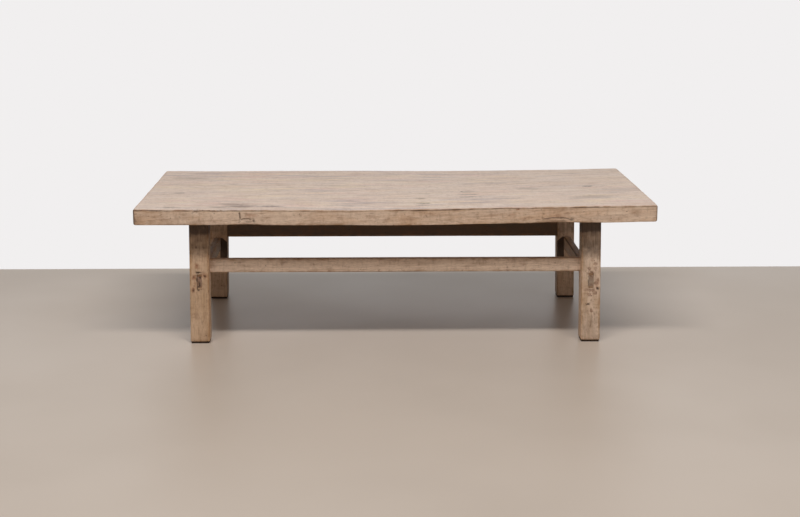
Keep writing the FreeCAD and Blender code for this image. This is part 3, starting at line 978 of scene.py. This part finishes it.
def make_leg(name, seed):
    """Make one leg, with the mortises that the tenons come through."""
    top, base, wood = settings().top, settings().base, settings().wood
    side, end = CORNERS[name]
    end_name, side_name = name.split("_")
    box_low, box_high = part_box(name + "_leg")
    section = leg_section()
    outer = leg_outer_face(box_low[Z], base)
    near, far = sorted((side * outer, side * (outer - section)))
    head = Bow(top).at(side * (outer - section / 2))[0] + HEAD_OVERLAP
    low = Vector((near, box_low[Y], box_low[Z]))
    high = Vector((far, box_high[Y], head))
    bm = block(low, high)
    traces = Traces(bm)
    round_off(bm, edges_along(bm, Z), base.leg_easing, 4)
    round_off(bm, [edge for edge in bm.edges if all_at(edge, Z, low[Z])], base.foot_easing, 2)
    slice_across(bm, X, graded(low[X], high[X], fine=0.0018, coarse=0.0018, reach=0.008))
    slice_across(bm, Y, graded(low[Y], high[Y], fine=0.0025, coarse=0.005, reach=0.008))
    foot_cuts = [low[Z] + cut for cut in FOOT_CUTS]
    slice_across(bm, Z, (*foot_cuts, JOINT_LOW, JOINT_HIGH))
    divide_along(bm, Z, foot_cuts[-1], JOINT_LOW, spacing=0.004)
    divide_along(bm, Z, JOINT_LOW, JOINT_HIGH, spacing=0.0018)
    divide_along(bm, Z, JOINT_HIGH, high[Z], spacing=0.004)
    bm.normal_update()
    for vert in bm.verts:
        vert.co[X] -= side * base.leg_splay * (vert.co[Z] - low[Z]) / underside
    bm.normal_update()
    face_gap = abs(box_low[Y] if end == FRONT else box_high[Y])
    through_face = tenon_opening(side_name + "_stretcher", Y, base)
    through_end = tenon_opening(end_name + "_stretcher", X, base)
    hidden = set(sink_opening(bm, through_face, Y, end, face_gap - 0.002, base.mortise_depth))
    hidden.update(sink_opening(bm, through_end, X, side, outer - 0.02, base.mortise_depth))
    shape_leg(bm, name, low, high, hidden, traces, seed)
    heart = (side * (outer - section * 0.2), end * (face_gap + 0.03), 0)
    paler = wood.pale if side == RIGHT else wood.honey
    tanner = wood.honey if end == REAR else wood.straw
    material = elm(name + "_elm", paler, tanner, heart, Z, (0.02, 0.03 * side, 0), seed)
    finished(bm, "leg_" + name, material, name + "_leg")


class TABLE_OT_legs(bpy.types.Operator):
    """Make the four splayed legs"""
    bl_idname = "low_table.legs"
    bl_label = "Legs"

    def execute(self, context):
        for count, name in enumerate(CORNERS):
            make_leg(name, 7.3 + 2.9 * count)
        return {"FINISHED"}


# Stretchers

# How far a stretcher's shoulders run into the legs, how far its dirt spreads from the dirty arris, and how
# near to its upper face a point counts as on it
SHOULDER_OVERLAP = 0.002
RAIL_DIRT_REACH = 0.004
UPPER_MARGIN = 0.001


def leg_face(height, along, base):
    """Distance from the table's middle to the legs' outer faces, which a stretcher's tenons reach."""
    return leg_outer_face(height, base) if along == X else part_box("rear_right_leg")[1][Y]


def corner_name(point):
    """Which corner of the table a point is at."""
    return ("front" if point[Y] < 0 else "rear") + ("_left" if point[X] < 0 else "_right")


def shape_stretcher(bm, low, high, along, traces, ends, dirt_and_shade, seed):
    """Wear the body of a stretcher, leave its tenons as they are and let dirt lie along one arris."""
    base = settings().base
    across = ACROSS[along]
    if along == X:
        dirty_side, dirty_level = low[Y], low[Z]
    else:
        dirty_side, dirty_level = min(low[X], high[X], key=abs), high[Z]
    longer_low = low - axis_vector(along, 0.1)
    longer_high = high + axis_vector(along, 0.1)
    for vert in bm.verts:
        flat = vert.co.copy()
        if vert in ends:
            stain = 1.0 if flat[X] < 0 else 0.30
            traces.add(vert, END, 0.4 * stain)
            traces.add(vert, RUST, 0.50 * stain)
            traces.add(vert, SOIL_AND_SHADE, stain * (0.16 + 0.40 * ragged(flat, 0.008, seed)))
            if along == Y:
                add_marks(vert, LEG_MARKS[corner_name(flat)], flat[X], flat[Z], traces)
            continue
        worn, nearness = arris_wear(flat, longer_low, longer_high, base.wear_reach, 0.8 * base.wear_depth,
                                    seed)
        worn[along] = 0
        traces.add(vert, RUB, nearness)
        swell = base.sway * ragged(flat, 0.07, seed + 2)
        side = nearer_side(flat, low, high, across)
        vert.co = flat + worn + axis_vector(across, side * swell * 0.6)
        gap = math.hypot(flat[across] - dirty_side, flat[Z] - dirty_level)
        traces.add(vert, SOIL_AND_SHADE, dirt_and_shade * (1.3 - gap / RAIL_DIRT_REACH))
        if flat[Z] > high[Z] - UPPER_MARGIN:
            traces.add(vert, SOIL_AND_SHADE, 0.12)


def make_stretcher(name, along, seed, heart, pale, tan, dirt_and_shade):
    """Make a stretcher with a through tenon at each end."""
    base = settings().base
    across = ACROSS[along]
    low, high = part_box(name)
    tenon_low, tenon_high = tenon_sides(name, along, base)
    shoulder = leg_face(low[Z], along, base) - leg_section() + SHOULDER_OVERLAP
    low[along], high[along] = -shoulder, shoulder
    bm = block(low, high)
    traces = Traces(bm)
    round_off(bm, edges_along(bm, along), base.stretcher_easing, 3)
    slice_across(bm, across, graded(low[across], high[across], fine=0.003, coarse=0.003, reach=0.006))
    slice_across(bm, Z, graded(low[Z], high[Z], fine=0.003, coarse=0.004, reach=0.006))
    bottom, upper = low[Z] + base.tenon_shoulder, high[Z] - base.tenon_shoulder
    slice_across(bm, across, (tenon_low, tenon_high))
    slice_across(bm, Z, (bottom, upper))
    divide_along(bm, along, low[along], high[along], spacing=0.005)
    bm.normal_update()

    ends = set()
    for sign in (-1, 1):
        faces = []
        for face in bm.faces:
            centre = face.calc_center_median()
            inside = tenon_low < centre[across] < tenon_high and bottom < centre[Z] < upper
            if inside and sign * face.normal[along] > 0.9:
                faces.append(face)
        for vert in drawn_from(bm, faces):
            vert.co[along] = sign * leg_face(vert.co[Z], along, base)
            ends.add(vert)
    shape_stretcher(bm, low, high, along, traces, ends, dirt_and_shade, seed)
    material = elm(name + "_elm", pale, tan, heart, along, (0, 0.012, 0.015), seed)
    finished(bm, name + "_rail", material, name)


class TABLE_OT_long_stretchers(bpy.types.Operator):
    """Make the front and rear stretchers"""
    bl_idname = "low_table.long_stretchers"
    bl_label = "Long stretchers"

    def execute(self, context):
        wood = settings().wood
        make_stretcher("front_stretcher", X, 21.1, (0, -0.300, 0.290), wood.pale, wood.pale, 0.45)
        # The rear stretcher's shaded colour holds painted shade as well as darker wood
        make_stretcher("rear_stretcher", X, 23.9, (0, 0.300, 0.200), wood.shaded, wood.shaded, 0.0)
        return {"FINISHED"}


class TABLE_OT_side_stretchers(bpy.types.Operator):
    """Make the stretchers of the two ends"""
    bl_idname = "low_table.side_stretchers"
    bl_label = "Side stretchers"

    def execute(self, context):
        wood = settings().wood
        make_stretcher("left_stretcher", Y, 27.7, (-0.630, 0, 0.240), wood.ashen, wood.straw, 0.10)
        make_stretcher("right_stretcher", Y, 31.3, (0.590, 0, 0.240), wood.ashen, wood.straw, 0.85)
        return {"FINISHED"}


# Pieces whose shape needs nothing more than a finish


def finish_node(node, material):
    """Give one of the frame's own pieces its material."""
    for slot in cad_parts[node].material_slots:
        slot.link = "OBJECT"
        slot.material = material


class TABLE_OT_battens(bpy.types.Operator):
    """Finish the dovetailed battens under the top"""
    bl_idname = "low_table.battens"
    bl_label = "Battens"

    def execute(self, context):
        wood = settings().wood
        for count, node in enumerate(("left_batten", "middle_batten", "right_batten")):
            low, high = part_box(node)
            heart = ((low[X] + high[X]) / 2, 0, low[Z] - 0.03)
            finish_node(node, elm(node + "_elm", wood.shaded, wood.straw, heart, Y, (0, 0.01, 0.01),
                                  41.3 + 3.1 * count))
        return {"FINISHED"}


class TABLE_OT_joinery(bpy.types.Operator):
    """Finish the wedges and the loose tongues"""
    bl_idname = "low_table.joinery"
    bl_label = "Wedges and tongues"

    def execute(self, context):
        wood = settings().wood
        wedge = elm("wedge_elm", wood.straw, wood.brown, (0, 0, 0.35), X, (0.3, 0.2, 0.1), 51.7)
        for node in ("long_tenon_wedges", "side_tenon_wedges", "leg_tenon_wedges", "front_seam_tongues",
                     "rear_seam_tongues"):
            finish_node(node, wedge)
        return {"FINISHED"}


class TABLE_OT_foot_pads(bpy.types.Operator):
    """Finish the dark pads under the legs"""
    bl_idname = "low_table.foot_pads"
    bl_label = "Foot pads"

    def execute(self, context):
        pad = felt("foot_pad_felt", settings().wood.pad)
        for corner in CORNERS:
            finish_node(corner + "_foot_pad", pad)
        return {"FINISHED"}


# Materials


def opaque(colour):
    """A colour with its fourth number, or a socket as it is."""
    if isinstance(colour, bpy.types.NodeSocket):
        return colour
    return (*colour, 1.0)


class Recipe:
    """A material or a world put together from nodes, each step giving the socket that a later one takes."""

    def __init__(self, made_for, colour=None):
        self.made_for = made_for
        self.colour = colour
        made_for.use_nodes = True
        self.tree = made_for.node_tree
        self.tree.nodes.clear()

    def node(self, kind, inputs, **choices):
        """A node with its choices made and its inputs linked or set."""
        made = self.tree.nodes.new(kind)
        for key, value in choices.items():
            setattr(made, key, value)
        for key, value in inputs.items():
            if isinstance(value, bpy.types.NodeSocket):
                self.tree.links.new(value, made.inputs[key])
            else:
                made.inputs[key].default_value = value
        return made

    def object_place(self):
        """The place on the piece, in metres."""
        return self.node("ShaderNodeTexCoord", {}).outputs["Object"]

    def trace(self, name):
        """One of the numbers that the piece's points carry."""
        return self.node("ShaderNodeAttribute", {}, attribute_name=name).outputs["Fac"]

    def placed(self, vector, location=(0, 0, 0), rotation=(0, 0, 0), scale=(1, 1, 1)):
        """A pattern's place, turned, moved and stretched."""
        inputs = {"Vector": vector, "Location": location, "Rotation": rotation, "Scale": scale}
        return self.node("ShaderNodeMapping", inputs, vector_type="POINT").outputs[0]

    def cloud(self, vector, stretch, detail=2.0, roughness=0.5, shift=0.0, output=0):
        """Uneven values from 0 to 1, stretched by a number of waves per metre each way."""
        place = self.placed(vector, location=(shift, shift, shift), scale=stretch)
        inputs = {"Vector": place, "Scale": 1.0, "Detail": detail, "Roughness": roughness}
        return self.node("ShaderNodeTexNoise", inputs).outputs[output]

    def rings(self, radius, rate, low, high):
        """Growth rings, from 0 to 1, that change with the distance from the tree's heart."""
        inputs = {"W": radius, "Scale": rate, "Detail": 2.0}
        uneven = self.node("ShaderNodeTexNoise", inputs, noise_dimensions="1D").outputs[0]
        return self.band(uneven, low, high)

    def band(self, value, low, high, to_low=0.0, to_high=1.0):
        """A value eased from one range to another."""
        inputs = {"Value": value, "From Min": low, "From Max": high, "To Min": to_low, "To Max": to_high}
        return self.node("ShaderNodeMapRange", inputs, interpolation_type="SMOOTHSTEP").outputs[0]

    def maths(self, operation, first, second=0.0):
        """A value made from two."""
        return self.node("ShaderNodeMath", {0: first, 1: second}, operation=operation).outputs[0]

    def times(self, first, second):
        """Two values multiplied."""
        return self.maths("MULTIPLY", first, second)

    def plus(self, first, second):
        """Two values added."""
        return self.maths("ADD", first, second)

    def minus(self, first, second):
        """One value less another."""
        return self.maths("SUBTRACT", first, second)

    def vectors(self, operation, first, second=(0, 0, 0), output=0):
        """A vector or its length, made from one or two."""
        made = self.node("ShaderNodeVectorMath", {0: first, 1: second}, operation=operation)
        return made.outputs[output]

    def tint(self, share, colour, most=1.0):
        """Mix another colour into the recipe's own, by a share of at most some amount."""
        if most != 1.0:
            share = self.times(share, most)
        inputs = {0: share, 6: opaque(self.colour), 7: opaque(colour)}
        self.colour = self.node("ShaderNodeMix", inputs, data_type="RGBA").outputs[2]

    def surface(self, roughness, shine, height=None, relief=0.0, strength=1.0):
        """The recipe's material: its colour, a roughness, a shine and the bumps that a height gives."""
        inputs = {"Base Color": self.colour, "Roughness": roughness, "Specular IOR Level": shine}
        if height is not None:
            bumps = {"Height": height, "Strength": strength, "Distance": relief}
            inputs["Normal"] = self.node("ShaderNodeBump", bumps).outputs[0]
        return self.finish(self.node("ShaderNodeBsdfPrincipled", inputs).outputs[0])

    def finish(self, shader, output="ShaderNodeOutputMaterial"):
        """Send a shader to the surface, and give the material or world."""
        self.node(output, {"Surface": shader})
        return self.made_for


GRAIN_TURNS = {X: (0, 0, 0), Y: (0, 0, -math.pi / 2), Z: (0, math.pi / 2, 0)}


def elm(name, pale, tan, heart, grain, tilt, seed):
    """Aged elm whose growth rings lie round a heart line that runs along the grain, a little tilted."""
    wood = settings().wood
    recipe = Recipe(bpy.data.materials.new(name), pale)
    turn = Euler([a + b for a, b in zip(GRAIN_TURNS[grain], tilt)])
    shift = turn.to_matrix() @ -Vector(heart) + Vector((3.7 * seed, 0, 0))
    straight = recipe.placed(recipe.object_place(), location=shift, rotation=turn)
    drift = recipe.vectors("SUBTRACT", recipe.cloud(straight, (1.4, 5, 5), output="Color"), (0.5, 0.5, 0.5))
    bent = recipe.vectors("ADD", straight, recipe.vectors("MULTIPLY", drift, (0, 0.030, 0.030)))
    radius = recipe.vectors("LENGTH", recipe.vectors("MULTIPLY", bent, (0, 1, 1)), output="Value")
    bleach, soil_and_shade = recipe.trace(BLEACH), recipe.trace(SOIL_AND_SHADE)

    wide_rings = recipe.rings(radius, 38, 0.38, 0.64)
    fine_rings = recipe.rings(radius, 240, 0.36, 0.68)
    patches = recipe.band(recipe.cloud(straight, (5, 22, 22), 4, 0.6), 0.36, 0.66)
    mottles = recipe.cloud(straight, (24, 42, 42), 4, 0.62)
    flecks = recipe.cloud(straight, (110, 30, 44))
    streaks = recipe.cloud(bent, (9, 85, 85), 4, 0.65)
    fibres = recipe.cloud(bent, (20, 330, 330), 4, 0.65)
    pores = recipe.band(recipe.cloud(bent, (70, 1300, 1300), 1), 0.60, 0.70)
    spots = recipe.band(recipe.cloud(straight, (75, 130, 130), 3, 0.6), 0.58, 0.72)
    spotted = recipe.band(recipe.cloud(straight, (6, 14, 14)), 0.36, 0.62)
    line = recipe.maths("ABSOLUTE", recipe.minus(recipe.cloud(bent, (5, 160, 160), 0), 0.5))
    checked = recipe.band(recipe.cloud(straight, (4, 22, 22), 1), 0.60, 0.68)
    checks = recipe.times(recipe.band(line, 0.012, 0.0), checked)
    cells = recipe.node("ShaderNodeTexVoronoi", {"Vector": straight, "Scale": 62.0}).outputs
    bored = recipe.band(cells["Distance"], 0.095, 0.070)
    drawn = recipe.node("ShaderNodeSeparateColor", {0: cells["Color"]}).outputs[0]
    holes = recipe.times(bored, recipe.band(drawn, 0.34, 0.32))

    recipe.tint(patches, tan)
    recipe.tint(wide_rings, wood.brown, 0.10)
    recipe.tint(fine_rings, wood.brown, 0.12)
    faded = recipe.band(recipe.cloud(straight, (6, 30, 30), 3, 0.6), 0.25, 0.70, 0.55, 0.92)
    recipe.tint(faded, wood.bleached, bleach)
    for colour, shift, most in ((wood.rosy, 5.0, 0.65), (wood.golden, 9.0, 0.55), (wood.grey, 13.0, 0.66)):
        tinted = recipe.band(recipe.cloud(straight, (5, 28, 28), 3, 0.6, shift), 0.47, 0.70, 0.0, most)
        where = recipe.band(recipe.cloud(straight, (1.6, 6, 6), 1, 0.5, -shift), 0.38, 0.62, 0.25, 1.0)
        recipe.tint(recipe.times(tinted, where), colour, bleach)
    plainer = recipe.band(bleach, 0.0, 1.0, 1.0, 0.45)
    darker = recipe.plus(recipe.band(mottles, 0.5, 0.76, 0, 0.43), recipe.band(flecks, 0.5, 0.76, 0, 0.23))
    recipe.tint(darker, wood.brown, plainer)
    lighter = recipe.plus(recipe.band(mottles, 0.48, 0.24, 0, 0.5), recipe.band(flecks, 0.48, 0.24, 0, 0.3))
    recipe.tint(lighter, pale, plainer)
    recipe.tint(recipe.band(streaks, 0.46, 0.78, 0.0, 0.26), wood.brown)
    recipe.tint(recipe.band(fibres, 0.48, 0.80, 0.0, 0.50), wood.brown)
    recipe.tint(recipe.band(fibres, 0.44, 0.20, 0.0, 0.40), pale)
    recipe.tint(recipe.trace(RUB), wood.handled, recipe.band(mottles, 0.35, 0.65, 0.10, 0.80))
    recipe.tint(recipe.times(spots, spotted), wood.brown, recipe.band(bleach, 0.0, 1.0, 0.56, 0.16))
    ended = recipe.plus(recipe.band(wide_rings, 0, 1, 0.10, 0.40), recipe.band(fine_rings, 0, 1, 0.0, 0.25))
    recipe.tint(recipe.trace(END), wood.brown, ended)
    recipe.tint(recipe.trace(PUTTY), wood.putty, 0.80)
    recipe.tint(recipe.trace(RUST), wood.rust, 0.85)
    # Dirt, and the painted shade that the soil number carries, with edges ragged along the fibres
    spread = recipe.times(recipe.times(recipe.minus(fibres, 0.5), 0.7), recipe.minus(1.1, soil_and_shade))
    edged = recipe.plus(soil_and_shade, recipe.times(spread, recipe.band(soil_and_shade, 0.0, 0.2)))
    recipe.tint(recipe.band(edged, 0.02, 1.05, 0.0, 0.92), wood.dirt_and_shade)
    recipe.tint(pores, wood.brown, 0.45)
    recipe.tint(checks, wood.dirt_and_shade, 0.60)
    recipe.tint(holes, wood.dirt_and_shade, 0.9)

    height = recipe.plus(recipe.times(fibres, 0.6), recipe.times(fine_rings, 0.25))
    for sunk, depth in ((pores, 0.5), (checks, 1.2), (holes, 3.0)):
        height = recipe.minus(height, recipe.times(sunk, depth))
    return recipe.surface(recipe.band(fibres, 0.2, 0.8, 0.58, 0.76), 0.3, height, 0.0006, 0.7)


def felt(name, colour):
    """The dark matted pads."""
    recipe = Recipe(bpy.data.materials.new(name), colour)
    place = recipe.object_place()
    hairs = recipe.cloud(place, (900, 900, 900), 3, 0.7)
    lumps = recipe.cloud(place, (120, 120, 120))
    recipe.tint(recipe.band(hairs, 0.35, 0.7), [2.0 * channel for channel in colour])
    matted = recipe.plus(hairs, lumps)
    return recipe.surface(recipe.band(lumps, 0.2, 0.8, 0.82, 0.96), 0.2, matted, 0.0005, 0.8)


def floor_finish(colour):
    """A plain pale floor with a faint sheen."""
    recipe = Recipe(bpy.data.materials.new("floor_finish"), colour)
    clouds = recipe.cloud(recipe.object_place(), (1.1, 1.1, 1.1), 3)
    recipe.tint(recipe.band(clouds, 0.3, 0.7), [0.93 * channel for channel in colour])
    return recipe.surface(recipe.band(clouds, 0.3, 0.7, 0.34, 0.42), 0.25)


def backdrop_finish(colour):
    """White where the camera sees its front, and nothing at all for light or from behind."""
    recipe = Recipe(bpy.data.materials.new("backdrop_finish"))
    seen = recipe.node("ShaderNodeLightPath", {}).outputs["Is Camera Ray"]
    behind = recipe.node("ShaderNodeNewGeometry", {}).outputs["Backfacing"]
    shows = recipe.times(seen, recipe.minus(1.0, behind))
    clear = recipe.node("ShaderNodeBsdfTransparent", {}).outputs[0]
    white = recipe.node("ShaderNodeEmission", {"Color": opaque(colour), "Strength": 1.0}).outputs[0]
    return recipe.finish(recipe.node("ShaderNodeMixShader", {0: shows, 1: clear, 2: white}).outputs[0])


# Stage


def sheet(name, corners, material):
    """Make a flat four-sided piece of the stage."""
    bm = bmesh.new()
    bm.faces.new([bm.verts.new(corner) for corner in corners])
    mesh_piece(bm, name, material)


def light_the_room(stage):
    """Light the scene evenly from all round, with light that the camera sees as white."""
    recipe = Recipe(bpy.data.worlds.new("room"))
    plain = {"Color": (1, 1, 1, 1)}
    soft = recipe.node("ShaderNodeBackground", {**plain, "Strength": stage.sky_strength}).outputs[0]
    white = recipe.node("ShaderNodeBackground", {**plain, "Strength": 1.0}).outputs[0]
    rays = recipe.node("ShaderNodeLightPath", {}).outputs
    seen = rays["Is Camera Ray"]
    for kind in ("Is Glossy Ray", "Is Transmission Ray"):
        seen = recipe.maths("MAXIMUM", seen, rays[kind])
    either = recipe.node("ShaderNodeMixShader", {0: seen, 1: soft, 2: white}).outputs[0]
    bpy.context.scene.world = recipe.finish(either, "ShaderNodeOutputWorld")


def add_panel(name, length, width, power, place, turn):
    """Hang a soft lamp, which the camera doesn't see."""
    data = bpy.data.lights.new(name, "AREA")
    data.shape = "RECTANGLE"
    data.size = length
    data.size_y = width
    data.energy = power
    lamp = in_scene(name, data)
    lamp.location = place
    lamp.rotation_euler = turn
    lamp.visible_camera = False


def hang_lamps(stage):
    """Hang a long lamp over the table, towards the front, and a fainter one that stands behind it."""
    lean = stage.lamp_lean
    away = Vector((0, -math.sin(lean), math.cos(lean))) * stage.lamp_distance
    edge = Vector((0, front_edge, underside))
    add_panel("long_lamp", stage.lamp_length, stage.lamp_width, stage.lamp_power, edge + away, (lean, 0, 0))
    add_panel("fill_lamp", stage.fill_length, stage.fill_height, stage.fill_power,
              (0, stage.fill_place, stage.fill_rise), (-math.pi / 2, 0, 0))


def set_camera(stage):
    """Set up the camera where the photograph was taken from."""
    data = bpy.data.cameras.new("camera")
    data.lens = stage.camera_lens
    camera = in_scene("camera", data)
    yaw = Matrix.Rotation(-stage.camera_yaw, 4, "Z")
    pitch = Matrix.Rotation(math.pi / 2 - stage.camera_pitch, 4, "X")
    roll = Matrix.Rotation(stage.camera_roll, 4, "Z")
    camera.matrix_world = Matrix.Translation(stage.camera_place) @ yaw @ pitch @ roll
    bpy.context.scene.camera = camera


class TABLE_OT_stage(bpy.types.Operator):
    """Set up the floor, the backdrop, the light and the camera"""
    bl_idname = "low_table.stage"
    bl_label = "Stage"

    def execute(self, context):
        stage = settings().stage
        reach, side, place = stage.floor_reach, stage.wall_reach, stage.wall_place
        sheet("floor", [(-reach, -reach, 0), (reach, -reach, 0), (reach, reach, 0), (-reach, reach, 0)],
              floor_finish(stage.floor_colour))
        top = stage.wall_height
        sheet("backdrop", [(-side, place, 0), (side, place, 0), (side, place, top), (-side, place, top)],
              backdrop_finish(stage.wall_colour))
        light_the_room(stage)
        hang_lamps(stage)
        set_camera(stage)
        context.scene.view_settings.view_transform = "Standard"
        return {"FINISHED"}


# Add-on

OPERATORS = (TABLE_OT_top_boards, TABLE_OT_legs, TABLE_OT_long_stretchers, TABLE_OT_side_stretchers,
             TABLE_OT_battens, TABLE_OT_joinery, TABLE_OT_foot_pads, TABLE_OT_stage)


class VIEW3D_PT_low_table(bpy.types.Panel):
    """The table's settings and the steps that make it"""
    bl_label = "Low elm table"
    bl_space_type = "VIEW_3D"
    bl_region_type = "UI"
    bl_category = "Table"

    def draw(self, context):
        table = settings()
        for group in (table.top, table.base, table.wood, table.stage):
            box = self.layout.box()
            for name in group.bl_rna.properties.keys():
                if name not in ("rna_type", "name"):
                    box.prop(group, name)
        for operator in OPERATORS:
            self.layout.operator(operator.bl_idname)


CLASSES = (TopSizes, FrameSizes, WoodColours, StageSizes, TableSettings, *OPERATORS, VIEW3D_PT_low_table)


def register():
    """Add the table's classes and settings."""
    for cls in CLASSES:
        bpy.utils.register_class(cls)
    bpy.types.Scene.low_table = PointerProperty(type=TableSettings)


def unregister():
    """Take the table's classes and settings away again."""
    del bpy.types.Scene.low_table
    for cls in reversed(CLASSES):
        bpy.utils.unregister_class(cls)


def main():
    """Make the table and its stage."""
    register()
    bpy.ops.low_table.top_boards()
    bpy.ops.low_table.legs()
    bpy.ops.low_table.long_stretchers()
    bpy.ops.low_table.side_stretchers()
    bpy.ops.low_table.battens()
    bpy.ops.low_table.joinery()
    bpy.ops.low_table.foot_pads()
    bpy.ops.low_table.stage()


if __name__ == "__main__":
    main()
